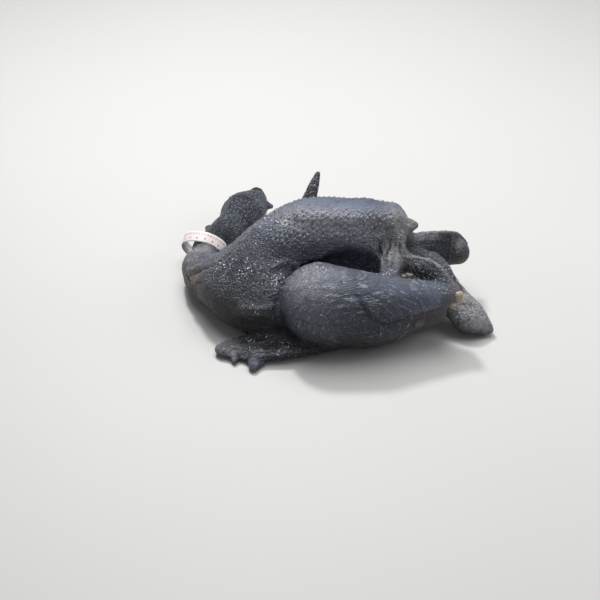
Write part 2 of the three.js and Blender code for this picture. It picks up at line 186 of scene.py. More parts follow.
class Flesh:
    """Signed distances on a grid, negative inside the flesh."""

    def __init__(self):
        low = np.array(GRID_LOW, float)
        count = np.ceil((np.array(GRID_HIGH) - low) / STEP).astype(int) + 1
        self.low = low
        self.axes = [low[i] + STEP * np.arange(count[i]) for i in range(3)]
        self.values = np.full(count, FAR_OUTSIDE, np.float32)

    def window(self, shape, reach):
        margin = reach + 4 * STEP
        cut = []
        for axis, low, high in zip(self.axes, shape.low, shape.high):
            first = np.searchsorted(axis, low - margin)
            last = np.searchsorted(axis, high + margin)
            cut.append(slice(first, last))
        lines = [axis[part].astype(np.float32) for axis, part in zip(self.axes, cut)]
        return tuple(cut), np.meshgrid(*lines, indexing="ij", sparse=True)

    def join(self, shape, reach):
        cut, grid = self.window(shape, reach)
        self.values[cut] = smooth_min(self.values[cut], shape.distance(*grid), reach)

    def hollow(self, shape, reach):
        cut, grid = self.window(shape, reach)
        self.values[cut] = -smooth_min(-self.values[cut], shape.distance(*grid), reach)

    def cut_level(self):
        depth = GROUND - self.axes[2]
        self.values = np.maximum(self.values, depth.astype(np.float32))

    def fill_pinches(self):
        """Where two full corners of a grid square meet only across its middle, fills one more."""
        for axis in (0, 1, 2) * PINCH_ROUNDS:
            values = np.moveaxis(self.values, axis, 0)
            full = values < 0
            first = full[:, :-1, :-1]
            second = full[:, 1:, :-1]
            pinched = (first == full[:, 1:, 1:]) & (second == full[:, :-1, 1:]) & (first != second)
            for layer, i, j in np.argwhere(pinched):
                values[layer, i + int(first[layer, i, j]), j] = -PINCH_FILL

    def surface(self):
        """Points and squares: a point in each cell that the surface crosses."""
        cells = np.array(self.values.shape) - 1
        found = np.zeros(cells, np.float32)
        sums = np.zeros((3, *cells), np.float32)
        crossings = []
        for axis in range(3):
            order = [axis, (axis + 1) % 3, (axis + 2) % 3]
            values = self.values.transpose(order)
            a = values[:-1]
            b = values[1:]
            crossing = (a < 0) != (b < 0)
            share = np.where(crossing, a / np.where(crossing, a - b, 1), 0)
            crossings.append(crossing.transpose(np.argsort(order)))
            count = found.transpose(order)
            run, right, back = [sums[k].transpose(order) for k in order]
            wide, deep = count.shape[1:]
            for i, j in ((0, 0), (0, 1), (1, 0), (1, 1)):
                met = crossing[:, i:wide + i, j:deep + j]
                count += met
                run += share[:, i:wide + i, j:deep + j]
                right += met * i
                back += met * j
        live = found > 0
        number = np.full(cells, -1)
        number[live] = np.arange(live.sum())
        offset = np.stack([part[live] / found[live] for part in sums], 1)
        points = self.low + STEP * (np.argwhere(live) + offset)
        squares = []
        for axis in range(3):
            next_step, last_step = np.eye(3, dtype=int)[[(axis + 1) % 3, (axis + 2) % 3]]
            at = np.argwhere(crossings[axis])
            steps = (0 * next_step, next_step, next_step + last_step, last_step)
            square = np.stack([number[tuple((at - step).T)] for step in steps], 1)
            flip = self.values[tuple(at.T)] >= 0
            square[flip] = square[flip][:, ::-1]
            squares.append(square)
        return points, np.vstack(squares)


def add_trunk(flesh):
    """Breast and ribs, back, pelvis, shoulders and the skin that closes the end of the breast."""
    ribs = Limb(
        (*CROP, 20, 13), (-62, -20, 25, 26, 19), (-42, -12, 35, 31, 29.5), (-18, -4, 42, 31, 38),
        (8, 2, 44, 29, 37), (28, 6, 47, 26, 34.5), (*KEEL_END, 21, 27.5),
        cap=0.3,
    )
    flesh.join(ribs, FILLET)
    flesh.join(Limb((-20, -9, 74, 7, 6), (10, -5, 76, 7, 6), (42, 1, 74, 7, 6)), 8)
    flesh.join(Limb((49, 6, 66, 5, 6), (54, 7, 66, 3, 3)), 4)
    flesh.join(Limb((43, -4, 57, 10), (43, -14, 51, 8.5), (43, -25, 45, 8)), 7)
    flesh.join(Ball((-22, -6, 18), (58, 42, 22)), BROAD)
    flesh.join(Ball((40, 0, 18), (44, 30, 20)), BROAD)
    flesh.join(Ball((-54, -36, 24), (38, 28, 24), -14), BROAD)
    flesh.join(Ball((-38, -46, 18), (24, 20, 18)), BROAD)
    flesh.join(Ball((-42, 6, 22), (28, 26, 21)), BROAD)


def add_hollows(flesh):
    """The pocket between the breast and the near leg, and the mouth of the belly."""
    pocket = Limb(
        (-16, -32, 46, 3.5), (-4, -30, 47, 6.5), (14, -28, 49, 9, 11.5), (27, -26, 47.5, 8.5, 11.5),
    )
    flesh.hollow(pocket, 4)
    flesh.hollow(Limb((64, 2, 53, 8, 6), (52, 3, 49, 8, 7)), 4)
    flesh.hollow(Ball((56.5, -5, 59), (7.5, 8, 7)), 3)


def add_near_leg(flesh):
    """Thigh out to the knee, drumstick back to the hock, and the shank folded up over it."""
    knee = (*NEAR_KNEE, 26, 27)
    flesh.join(Limb((50, -28, 18, 16), (25, -42, 24, 20, 22), knee), TIGHT)
    underside = Limb(
        (10, -50, 20, 22, 19), (38, -46, 18, 17, 15), (60, -38, 20, 12, 11), (76, -31, 24, 8, 9),
    )
    flesh.join(underside, CREASE)
    drumstick = Limb(
        knee, (25, -49, 37, 21, 20.5), (50, -42, 37, 15), (70, -34, 36, 11, 12), (*NEAR_HOCK, 9.5),
    )
    flesh.join(drumstick, CREASE)
    shank = Limb(
        (*NEAR_HOCK, 8, 9), (75, -21, 43.5, 6, 11), (62, -17, 44.5, 5.5, 11), (50, -13, 45, 5.5, 10.5),
        (42, -6, 46, 6, 8),
    )
    flesh.join(shank, SHARP)
    flesh.join(Limb((44, -22, 35, 10), (70, -25, 35, 9)), SHARP)
    flesh.join(Limb((41, -14, 57, 6.5, 5), (43, -25, 54.5, 7.5, 5), (44.5, -35, 52, 6.5, 3.5)), CREASE)
    strap = Limb(
        (44, 0, 42, 8, 8.5), (56, 0, 42, 8.5, 9), (66, -1, 41, 8.5, 9), (74, -3, 37, 7.5, 8.5),
        (80, -6, 31, 7, 7), (87, -10, 24, 8, 6), (94, -13, 16, 8, 6),
    )
    flesh.join(strap, SHARP)
    flesh.join(Ball((86.5, -30, 36), (4.5, 4, 5)), TIGHT)


def add_far_leg(flesh):
    flesh.join(Limb((50, 22, 16, 16), (25, 34, 18, 20, 18), (*FAR_KNEE, 24, 22)), 6)
    drumstick = Limb(
        (*FAR_KNEE, 24, 22), (25, 40, 24, 19), (50, 34, 25, 13), (68, 30, 29, 9, 10), (*FAR_HOCK, 8, 9),
    )
    flesh.join(drumstick, CREASE)
    shank = Limb(
        (92, 31, 38, 8.5, 12), (84, 28, 39.5, 8.5, 12), (72, 22, 42, 8.5, 11.5), (58, 14, 45, 8.5, 10),
        (*VENT_TUCK, 8, 9),
    )
    flesh.join(Sawn(shank, SAWN_AT, SAWN_FACING), SHARP)


def add_tail(flesh):
    tail = Limb(
        (62, -2, 23, 18, 14), (79, -6, 21, 11, 9.5), (91, -12, 16, 12.5, 9.5),
        (101, -15.5, 10.5, 12.5, 8), (109.5, -17.5, 5.5, 6.5, 4.5), (115, -19, 4.5, 1.6),
    )
    flesh.join(tail, CREASE)
    flesh.join(Ball((97, -17, 9), (9.5, 9, 8.5)), CREASE)


def add_neck_and_head(flesh):
    """The neck bends round from the crop to lie beside the body, with the head at its end."""
    neck = Limb(
        (-68, -20, 22, 18, 16), (-81, -27, 18, 16, 15), (-90, -19, 17, 15), (-98, -6, 14.5, 14, 13.5),
        (-100, 6, 13.5, 11, 11.5), (-102, 20, 14.8, 9.8), (-99.5, 31, 15.6, 9.4), (-97, 38, 14.6, 10.6),
        (*NAPE, 12),
    )
    flesh.join(neck, FILLET)
    flesh.join(Ball(SKULL, (16, 23, 15), -14), FILLET)
    flesh.join(Ball((-82, 87, 14), (9.5, 10, 12)), CREASE)
    comb = Limb((-87, 92, 17, 4, 6), (-83, 96, 18, 3.5, 7), (-79, 95, 15, 3, 6))
    flesh.join(comb, CREASE)
    flesh.join(Limb((-75, 91, 13, 4, 3.5), (-69.5, 92, 11.5, 1.4)), TIGHT)
    flesh.join(Limb((-106, 50, 10, 5, 4), (-111, 54, 9, 2.4)), SHARP)


def add_wings(flesh):
    """The near wing lies flat beside the shoulder; the tip of the far one points up."""
    upper_arm = Limb((-44, -46, 12, 14, 12), (-16, -50, 11, 12, 11), (14, -48, 10, 11, 10))
    forearm = Limb(
        (22, -50, 9, 9, 7), (-5, -64, 7, 10, 6), (-26, -72, 5, 10, 4.5), (-46, -75, 4.5, 9.5, 4.2),
        (-59, -80, 4.5, 6.5, 3.6), (-64, -80.5, 4, 4.5, 2.8),
    )
    far_wing = Limb(
        (20, 44, 9, 9, 7), (-8, 54, 8, 10, 6), (*FAR_WRIST, 10, 7), (-38, 70, 20, 8, 6),
        (-35, 78, 36, 5.8, 4.2), (-31, 84, 51.5, 2.4),
    )
    flesh.join(upper_arm, 4)
    flesh.join(forearm, SHARP)
    bones = (
        [(14, -60, 8, 4), (-8, -71, 7, 4.6), (-26, -79, 6, 4.4), (-36, -83, 5, 5)],
        [(-4, -58, 10, 4), (-24, -64, 9, 4.5), (-44, -70, 7.5, 4), (-58, -77, 6, 3.6)],
        [(-36, -82, 5, 5.4, 4.4), (-36.5, -89, 4, 4.4, 3.6), (-35.5, -93.5, 3, 2.8, 2.4)],
        [(-33, -84, 4, 3, 3), (-32, -88, 3, 1.8)],
        [(-50, -79, 4, 3.4, 3), (-51, -85, 3.2, 2.6), (-50.5, -88.5, 2.6, 1.8)],
        [(-50, -80, 3, 4, 2.6), (-42, -83, 3, 4, 2.6)],
    )
    for bone in bones:
        flesh.join(Limb(*bone), SHARP)
    flesh.join(far_wing, SHARP)


def worked_out():
    flesh = Flesh()
    add_trunk(flesh)
    add_hollows(flesh)
    add_near_leg(flesh)
    add_far_leg(flesh)
    add_tail(flesh)
    add_neck_and_head(flesh)
    add_wings(flesh)
    flesh.cut_level()
    flesh.fill_pinches()
    return flesh.surface()


class Skin:
    """The surface as arrays of points in millimetres and of squares."""

    def __init__(self, points, squares):
        self.points = points
        self.squares = squares
        ends = np.roll(squares, -1, axis=1)
        self.edges = np.stack([squares.ravel(), ends.ravel()], 1)
        self.settle()

    def settle(self):
        """Works out the normals again."""
        a, b, c, d = [self.points[self.squares[:, i]] for i in range(4)]
        faces = np.cross(c - a, d - b)
        sums = np.zeros_like(self.points)
        for axis in range(3):
            weights = np.repeat(faces[:, axis], 4)
            sums[:, axis] = np.bincount(self.squares.ravel(), weights, len(self.points))
        length = np.linalg.norm(sums, axis=1)[:, None]
        self.normals = sums / np.maximum(length, 1e-9)

    def spread(self, values):
        """The mean of each point's neighbours."""
        start, end = self.edges.T
        count = np.bincount(start, minlength=len(self.points))
        means = np.empty((len(self.points), values.shape[1]))
        for axis in range(values.shape[1]):
            means[:, axis] = np.bincount(start, values[end, axis], len(self.points)) / count
        return means

    def smooth(self, rounds):
        for _ in range(rounds):
            self.points = 0.5 * self.points + 0.5 * self.spread(self.points)
        self.settle()

    def push(self, heights):
        """Moves each point out along its normal, less near the ground and never into it."""
        free = np.clip(self.points[:, 2] / GROUND_FADE, 0, 1)
        self.points = self.points + self.normals * (heights * free)[:, None]
        self.points[:, 2] = np.maximum(self.points[:, 2], GROUND)
        self.settle()

    def hollowness(self, rounds):
        """How far each point lies below the skin around it, in millimetres."""
        around = self.points
        for _ in range(rounds):
            around = self.spread(around)
        return ((around - self.points) * self.normals).sum(1)

    def tree(self):
        return BVHTree.FromPolygons(self.points.tolist(), self.squares.tolist())


rng = np.random.default_rng(11)
LATTICE_SIDE = 32
LATTICE = rng.random((LATTICE_SIDE, LATTICE_SIDE, LATTICE_SIDE)) * 2 - 1
SEED_SHIFT = 7.31


def noise(places, scale, seed=0):
    """Smooth noise from -1 to 1, with lumps of about scale millimetres."""
    at = places / scale + seed * SEED_SHIFT
    cell = np.floor(at).astype(int)
    part = at - cell
    part = part * part * (3 - 2 * part)
    total = np.zeros(len(places))
    for i in (0, 1):
        for j in (0, 1):
            for k in (0, 1):
                corner = (cell + (i, j, k)) % LATTICE_SIDE
                weight = np.abs(1 - i - part[:, 0]) * np.abs(1 - j - part[:, 1])
                weight = weight * np.abs(1 - k - part[:, 2])
                total += weight * LATTICE[corner[:, 0], corner[:, 1], corner[:, 2]]
    return total


def spot(places, centre, reach):
    """1 at the centre, fading to 0 at about twice the reach."""
    away = (places - np.array(centre)) / np.array(reach)
    return np.exp(-(away**2).sum(1))


def to_path(places, path):
    """The distance of each place from a path of points, and its share of the way along it."""
    best = np.full(len(places), 1e9)
    share = np.zeros(len(places))
    for i, (a, b) in enumerate(zip(path[:-1], path[1:])):
        along = b - a
        t = np.clip(((places - a) @ along) / (along @ along), 0, 1)
        away = np.linalg.norm(places - a - t[:, None] * along, axis=1)
        closer = away < best
        best[closer] = away[closer]
        share[closer] = (i + t[closer]) / (len(path) - 1)
    return best, share


FOLD_PIECES = 6
FOLD_MARGIN = 3
FOLD_TAPER = 0.8


def folded(skin, tree, width, height, *stations):
    """Heights of a ridge, or of a groove where height is negative, laid on the skin."""
    path = smooth_curve(stations, FOLD_PIECES)
    path = np.array([tree.find_nearest(Vector(at))[0] for at in path])
    low = path.min(0) - FOLD_MARGIN * width
    high = path.max(0) + FOLD_MARGIN * width
    close = np.all((skin.points > low) & (skin.points < high), axis=1)
    heights = np.zeros(len(skin.points))
    away, share = to_path(skin.points[close], path)
    taper = np.clip(4 * share * (1 - share), 0, 1) ** FOLD_TAPER
    heights[close] = height * taper * np.exp(-((away / width) ** 2))
    return heights


# Folds, ridges and grooves: the half width and the height, in millimetres, and places to lie
# along on the skin. The first ones are also pale.
PALE_RIDGES = 5
FOLDS = [
    # Two ridges of skin from the foot of the neck up the breast.
    (0.9, 1.7, (-82, -42, 38), (-75, -34, 46), (-68, -23, 53), (-60, -15, 60), (-52, -5, 65)),
    (0.9, 1.5, (-79, -49, 36), (-74, -44, 42), (-68, -34, 49), (-65, -26, 53), (-62, -18, 58)),
    # The upper edge of the near shank.
    (0.8, 1.9, (50, -18, 56), (57, -17, 56), (66, -18, 55.5), (76, -23, 54), (84, -28, 49), (88, -31, 45)),
    # The upper edge of the far shank and the rim of its sawn end.
    (1.0, 1.2, (56, 10, 57), (64, 18, 55), (72, 23, 52.5), (79, 29, 48)),
    (0.9, 1.2, (78, 30, 48), (79, 26.5, 44.5), (79, 23, 40), (78.3, 19.5, 35), (78, 21, 29)),
    # The near row of feather knobs stands up beside the bare band over the keel.
    (4.5, 0.9, (-34, -13, 75), (-15, -17, 78), (12, -13, 78), (38, -4, 80)),
    (6.0, -0.9, (-24, -6, 82), (5, -4, 83), (36, 4, 83)),
    # Drumstick over thigh.
    (2.4, -1.6, (22, -58, 55), (29.5, -64, 48), (35, -65, 40.5), (40.5, -63, 33.5), (46, -58.5, 28)),
    (
        1.5, -2.0, (38, -64, 37), (46, -58.5, 28), (53, -54, 28.5), (62.5, -48.5, 30.5),
        (74, -43.5, 32.5), (84, -38, 36),
    ),
    (3.0, 0.8, (27, -62, 55), (33, -66, 50), (39, -67, 43), (47, -60, 38), (60, -52, 38)),
    (2.2, 1.0, (52, -52, 34), (64, -46, 36), (76, -40, 37)),
    # The crease round the knee.
    (
        1.3, -1.6, (-14, -34, 45), (-21, -36, 45), (-25, -46, 44), (-28, -56, 36),
        (-29, -62, 28), (-27, -66, 20),
    ),
    (1.5, -1.4, (-26, -66, 22), (-22, -70, 15), (-12, -74, 11)),
    # Loose skin between shoulder, breast and knee.
    (2.4, 1.5, (-18, -32, 47), (-27, -37, 53), (-37, -42, 49), (-46, -44, 49)),
    (1.8, 1.0, (-22, -44, 46), (-30, -48, 46), (-42, -50, 46)),
    # Wet folds where the wing leaves the shoulder, with the dark recess under them.
    (1.8, 1.6, (-56, -65, 29), (-45, -66, 31), (-34, -64, 32), (-27, -60, 33)),
    (1.3, 1.0, (-52, -66, 26), (-42, -67, 27), (-31, -65, 28)),
    (4.2, -3.2, (-52, -64, 20), (-40, -67, 22), (-26, -64, 21)),
    # Foot of the neck: a deep crease with a soft bulge below it.
    (1.6, -2.0, (-102, -27, 21), (-97, -30, 26), (-90, -33, 32), (-80, -38, 40), (-72, -37, 46)),
    (3.2, 1.5, (-99, -33, 19), (-93, -38, 24), (-86, -40, 32)),
    (1.6, 1.1, (-106, -18, 22), (-100, -25, 26), (-93, -27, 32), (-86, -26, 38)),
    (1.5, -1.0, (-107, -8, 24), (-100, -15, 29), (-92, -18, 32)),
    (1.5, 0.9, (-106, 0, 25), (-99, -6, 29), (-91, -8, 30)),
    (1.2, -1.8, (-107, -14, 23), (-105, -21, 20), (-99, -31, 20), (-94, -38, 17)),
    (1.4, 1.3, (-107, -20, 15), (-101, -31, 14), (-95, -39, 13)),
    (1.3, -1.3, (-93, -39, 26), (-88, -44, 30), (-82, -48, 34)),
    # Torn edge of skin over the mouth of the belly.
    (1.4, 1.0, (45, -4, 75), (51, 1, 68), (56, 4, 65)),
    (1.4, 1.1, (42, -10, 68), (47, -12, 62), (50, -16, 54), (52, -20, 48)),
    # Edges of the shanks.
    (1.4, 0.8, (52, -2, 58), (61, 8, 54), (71, 15, 51), (82, 24, 46)),
    # Ragged edge of skin beside the hock.
    (1.5, -2.6, (89, -22, 43), (91, -21, 38), (93, -22, 33)),
    (1.7, -3.0, (85, -7, 38), (88, -8, 33), (91, -10, 29), (93, -14, 26)),
    (1.0, 1.2, (90, -13, 34), (94, -16, 29), (96, -19, 24)),
    # Tail: raised rim and a crease down its middle.
    (1.5, 1.0, (92, -4, 24), (105, -9, 17), (112, -16, 10), (115, -19, 5)),
    (1.8, -1.0, (84, -14, 28), (97, -16, 21), (108, -18, 12)),
    # Two bones along the near wing, with a groove between them.
    (1.9, 1.3, (4, -68, 14), (-17, -68, 12), (-30, -73, 11), (-45, -79, 10), (-58, -84, 8)),
    (1.3, -1.2, (2, -71, 10), (-14, -74, 10), (-28, -79, 10), (-40, -83, 9)),
    (1.6, 0.9, (6, -71, 8), (-12, -77, 8), (-27, -83, 7), (-38, -88, 6)),
    (1.2, -0.9, (-44, -77, 9), (-52, -84, 8), (-60, -88, 5)),
]

# Wrinkles down the skin that closes the end of the breast.
WRINKLES = 5
for i in range(WRINKLES):
    top = (35 + 3.0 * i, -13 + 0.8 * i, 66)
    middle = (34 + 3.2 * i, -20 + 0.4 * i, 56)
    foot = (36 + 3.1 * i, -39 + 0.6 * i, 53 - 0.5 * i)
    FOLDS.append((1.1, -2.8 + 0.8 * (i % 2), top, middle, foot))

# Bare skin, where feathers leave few knobs, each spot as its centre and reach. Some of it is bluish.
BLUE_BARE = [
    (2, -3, 84, 44, 10.5, 9), (2, -26, 58, 38, 12, 13), (10, -54, 34, 34, 26, 26),
    (50, -46, 30, 34, 20, 18),
]
BARE = BLUE_BARE + [
    (0, 30, 52, 36, 14, 16), (10, 48, 24, 40, 22, 24), (-30, -64, 20, 26, 14, 12),
    (-98, -18, 28, 10, 16, 12), (*EYE, 8, 5, 8),
]
BLUISH = [
    (76, -36, 42, 10, 9, 8), (46, -52, 46, 14, 12, 8), (14, -70, 36, 16, 12, 14),
]

# Tints and finishes of the skin, painted shade and painted light, under the names that the materials read:
# centre and reach.
REGIONS = {
    "brown": [
        (-62, -62, 20, 22, 18, 14), (-97, -34, 17, 10, 13, 9), (-88, -42, 20, 13, 14, 13),
        (20, -66, 14, 54, 16, 11), (70, -40, 26, 22, 10, 9), (87, -33, 36, 6, 5, 8),
        (88, 24, 34, 10, 9, 12), (102, -24, 8, 12, 8, 6), (-98, -36, 16, 12, 12, 9),
        (-58, -66, 16, 26, 14, 12), (64, -42, 24, 26, 10, 8), (-30, 46, 8, 60, 18, 8),
    ],
    "beige": [
        (46, -4, 70, 9, 11, 9), (44, -18, 56, 8, 9, 10), (-92, -38, 24, 8, 7, 8),
        (86, -30, 38, 5, 5, 8), (74, 22, 54, 18, 10, 3), (88, -30, 35, 6, 5, 6),
        (98, -13, 20, 13, 11, 9), (-92, -40, 25, 4, 4, 4), (-98, -30, 22, 11, 12, 10),
        (-94, -38, 22, 7, 7, 8), (85, 22, 33, 4, 5, 4),
    ],
    "wet": [
        (-44, -46, 47, 26, 14, 10), (-62, -44, 40, 16, 12, 12), (-10, -52, 58, 16, 12, 8),
        (-42, -66, 29, 16, 7, 7), (-28, -76, 9, 20, 9, 6), (-38, -14, 70, 20, 14, 12),
        (-52, -20, 60, 12, 10, 10), (14, -50, 52, 16, 8, 5), (50, -36, 52, 20, 5, 4),
        (-70, -38, 38, 16, 14, 12), (-36, 76, 40, 10, 12, 16), (62, -22, 50, 16, 8, 7),
        (-98, -10, 26, 10, 8, 6),
    ],
    "shade": [
        (-50, -48, 34, 20, 16, 16), (-50, -64, 17, 28, 14, 13), (-36, -66, 21, 16, 8, 7),
        (-62, -60, 18, 22, 16, 14), (-48, -66, 12, 16, 12, 8), (-40, -66, 20, 20, 10, 9),
        (-20, -68, 6, 34, 12, 5), (-104, 56, 8, 12, 34, 8), (-96, 30, 18, 12, 14, 14),
        (-94, -38, 18, 12, 12, 7), (68, 16, 40, 26, 16, 12), (30, -70, 10, 50, 12, 9),
        (-24, -64, 22, 8, 10, 12), (54, 4, 46, 10, 8, 8), (88, -12, 34, 3, 4, 5),
        (91, -20, 36, 3, 4, 6), (51, -4, 58, 4, 6, 8), (89.5, -9, 31, 3, 4, 5), (66, -24, 49, 18, 4, 5),
        (*EYE, 7.5, 3.2, 6), (*EYE, 5, 2.2, 6), (-84, 95, 25, 6, 5, 4),
    ],
    # Painted shade: darkens the sides and faces that the light reaches least.
    "dusky_shade": [
        (-6, -28, 62, 36, 14, 10), (-38, -30, 60, 14, 10, 10), (-52, -42, 44, 26, 18, 14),
        (-54, -28, 56, 16, 12, 10), (30, -62, 38, 44, 12, 16), (68, 16, 44, 22, 12, 9),
        (-66, -46, 34, 22, 14, 14), (-62, -30, 46, 14, 12, 10), (-35, 79, 40, 9, 10, 16),
    ],
    # Paler spots: partly the skin's own paler tone, partly painted light where the skin catches it.
    "pale": [
        (4, -17, 77, 46, 9, 9), (45, -8, 67, 13, 18, 18), (40, -20, 66, 12, 8, 14),
        (98, -15, 16, 19, 17, 16), (83, 25, 39, 4, 8, 9), (100, -18, 17, 14, 12, 12),
        (14, -18, 76, 36, 8, 8), (43, -14, 62, 9, 10, 14), (46, -6, 66, 8, 12, 12),
        (103, -20, 14, 12, 10, 9), (70, 24, 54, 16, 8, 3), (-4, -56, 46, 18, 16, 16),
        (6, -20, 74, 42, 6, 6), (-100, 0, 26, 10, 14, 6), (-56, -82, 6, 9, 8, 5),
        (72, -16, 55, 16, 3, 4),
    ],
    "pebbled": [
        (64, -20, 46, 22, 11, 12), (72, 22, 42, 20, 14, 14), (-98, 24, 18, 16, 28, 16),
        (-88, 74, 18, 20, 30, 20), (97, -15, 14, 18, 14, 12), (45, -10, 64, 10, 18, 18),
        (-56, -44, 36, 26, 20, 20), (-20, -77, 6, 34, 8, 7), (-34, 76, 36, 10, 12, 18),
    ],
}


def together(places, spots):
    """The spots joined: 1 in the middle of any of them."""
    clear = np.ones(len(places))
    for row in spots:
        clear *= 1 - spot(places, row[:3], row[3:])
    return 1 - clear


def leg_lines(places):
    """Lines that run round the knee and on down the drumstick."""
    x = (places[:, 0] - 30) / 1.45
    z = (places[:, 2] - 31) + 0.12 * (places[:, 0] - 30)
    across = np.hypot(x, z) + 3 * noise(places, 16, 9)
    return across, np.arctan2(z, x) * 22


def straight(shares, axis):
    """Lines that follow one axis. Across is made of shares of the three coordinates."""

    def run(places):
        return mixed(shares, *places.T), places[:, axis]

    return run


UPRIGHT = straight((0.85, 0.5, 0), 2)
LEVEL = straight((0, 0.25, 1), 0)

# Where the skin is drawn into fine lines: how the lines run, and centre and reach. A line has one
# value of across all along it, in millimetres.
LINES = [
    (leg_lines, (26, -58, 32), (46, 24, 30)),
    (UPRIGHT, (40, -20, 54), (11, 10, 15)),
    (straight((0, 1, -0.35), 0), (-98, -6, 24), (14, 22, 14)),
    (LEVEL, (62, 0, 48), (20, 14, 10)),
    (leg_lines, (84, -7, 34), (10, 9, 12)),
    (LEVEL, (2, -28, 50), (30, 8, 12)),
    (straight((-0.42, 0.9, 0.5), 0), (-30, -76, 8), (36, 16, 9)),
]
LINE_STRENGTH = 1.4
LINE_HEIGHT = 1.1
LINE_WIDTH = 2.6
LINE_LENGTH = 16


def drawn_lines(places):
    """For each place: how much it is drawn into lines, and its two coordinates along them."""
    strength = np.zeros(len(places))
    flow = np.zeros((len(places), 2))
    for run, centre, reach in LINES:
        here = spot(places, centre, reach)
        stronger = here > strength
        across, along = run(places)
        strength[stronger] = here[stronger]
        flow[stronger] = np.stack([across, along], 1)[stronger]
    return strength, flow


# Small pits in the middle of each thigh, where the feathers were drawn.
PIT_PITCH = 3.8
PIT_DEPTH = 0.6
PIT_REACH = 1.0
PITTED = [(26, -62, 30, 17, 20, 12), (22, 56, 22, 20, 20, 12)]

# Rows and columns that stand in one another's gaps: the distance between rows, in pitches.
ROW_GAP = 0.87


def pits(places):
    u = places[:, 0] / PIT_PITCH + 0.25 * noise(places, 9, 8)
    v = places[:, 2] / (ROW_GAP * PIT_PITCH)
    row = np.floor(v)
    u = u + 0.5 * (row % 2)
    away = np.hypot(u - np.floor(u) - 0.5, ROW_GAP * (v - row - 0.5)) * PIT_PITCH
    return -PIT_DEPTH * together(places, PITTED) * np.exp(-((away / PIT_REACH) ** 2))


# Low lumps all over, as height, size and seed, and smaller ones in the rough areas only.
LUMPS = ((0.7, 13, 1), (0.35, 6, 2))
ROUGH_LUMPS = (0.55, 3.1, 4)
ROUGH_AREAS = [
    [(-50, -46, 38, 34, 22, 22), (-90, 50, 16, 26, 42, 22)],
    [(64, 4, 50, 30, 32, 16), (96, -14, 16, 24, 16, 18)],
]
PALE_HEIGHT = 1.3


def sculpt(skin):
    """Lumps, folds, wrinkles and the closed eye. Gives back how pale the first folds are."""
    tree = skin.tree()
    folds = [folded(skin, tree, *fold) for fold in FOLDS]
    skin.push(np.sum(folds, axis=0))
    places = skin.points
    strength, flow = drawn_lines(places)
    lines = np.column_stack([flow[:, 0] / LINE_WIDTH, flow[:, 1] / LINE_LENGTH, 0.02 * places[:, 1]])
    ridged = 0.5 - np.abs(noise(lines, 1.0, 3))
    heights = LINE_HEIGHT * np.clip(strength * LINE_STRENGTH, 0, 1) * ridged
    for height, size, seed in LUMPS:
        heights += height * noise(places, size, seed)
    rough = np.max([together(places, area) for area in ROUGH_AREAS], axis=0)
    height, size, seed = ROUGH_LUMPS
    heights += height * rough * noise(places, size, seed)
    heights += eye_heights(places) + pits(places)
    skin.push(heights)
    return np.clip(np.max(folds[:PALE_RIDGES], axis=0) / PALE_HEIGHT, 0, 1)


EYE_REACH = 7.0
EYE_TURN = 0.2
EYE_SQUASH = 0.75
EYE_DEEP = 8
LID_HEIGHT = 1.3
LID_REACH = 3.0
SLIT_DEPTH = 3.0
SLIT_LENGTH = 4.2
SLIT_WIDTH = 1.3
RING_HEIGHT = 0.5
RING_RATE = 2.1


def eye_heights(places):
    """A shut lid with a slit across it and wrinkled rings round it."""
    away = places - np.array(EYE)
    x = away[:, 0] - EYE_TURN * away[:, 1]
    y = away[:, 1] + EYE_TURN * away[:, 0]
    ring = np.hypot(x, y / EYE_SQUASH)
    fade = np.exp(-((ring / EYE_REACH) ** 2)) * (np.abs(away[:, 2]) < EYE_DEEP)
    lid = LID_HEIGHT * np.exp(-((ring / LID_REACH) ** 2))
    slit = -SLIT_DEPTH * np.exp(-((x / SLIT_LENGTH) ** 2)) * np.exp(-((y / SLIT_WIDTH) ** 2))
    rings = RING_HEIGHT * np.cos(ring * RING_RATE)
    return fade * (lid + slit + rings)


# Rows of knobs: the line that they stand round, the first and last turn from upright towards the
# near side in degrees, their spacing, their size, their slant in degrees and how pale they are.
BREAST_LINE = [(-46, -12, 45), (-20, -5, 46), (20, 4, 48), (46, 6, 54)]
SHOULDER_LINE = [(-96, -32, 18), (-84, -30, 22), (-62, -20, 32), (-34, -8, 42)]
NEAR_SHANK_LINE = [NEAR_HOCK, (75, -22, 45), (62, -17, 46), (50, -13, 46)]
FAR_SHANK_LINE = [(86, 28, 39), (72, 22, 42), (58, 14, 45), (48, 6, 46)]
NECK_LINE = [(-84, -27, 18), (-98, -6, 14), (-100, 6, 13), (-99, 18, 12.5), (-96, 33, 12.5), NAPE]
TAIL_LINE = [(70, -6, 20), (93, -12, 15), (103, -15.5, 9.5), (111, -18, 5)]
WING_LINE = [(10, -58, 8), (-8, -66, 6), (-30, -75, 5), (-58, -80, 4)]
FAR_WING_LINE = [(-8, 54, 8), FAR_WRIST, (-38, 70, 20), (-35, 78, 36), (-32, 83, 48)]
